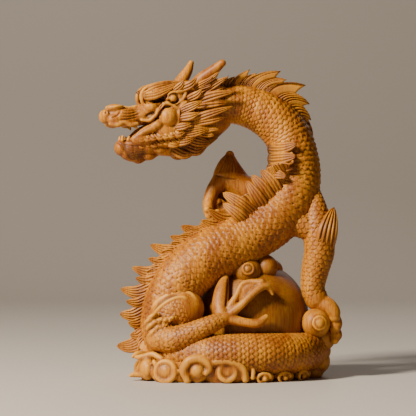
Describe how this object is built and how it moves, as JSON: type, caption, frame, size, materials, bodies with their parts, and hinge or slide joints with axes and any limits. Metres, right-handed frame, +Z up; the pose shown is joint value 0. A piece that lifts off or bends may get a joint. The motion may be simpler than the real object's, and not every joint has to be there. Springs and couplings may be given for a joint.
{
  "type": "dragon sculpture",
  "caption": "Wooden desk sculpture of a coiled dragon gripping a ball on a bed of clouds, carved with its base as one piece.",
  "frame": {"origin": "on the flat underside, under the middle of the cloud base", "axes": "+Z up; the viewer stands at -Y and the dragon's head looks to -X"},
  "size_m": [0.1528, 0.1102, 0.2005],
  "materials": {
    "boxwood": "oiled, satin"
  },
  "bodies": {
    "root": {"dragon_carving": "boxwood"}
  },
  "joints": []
}
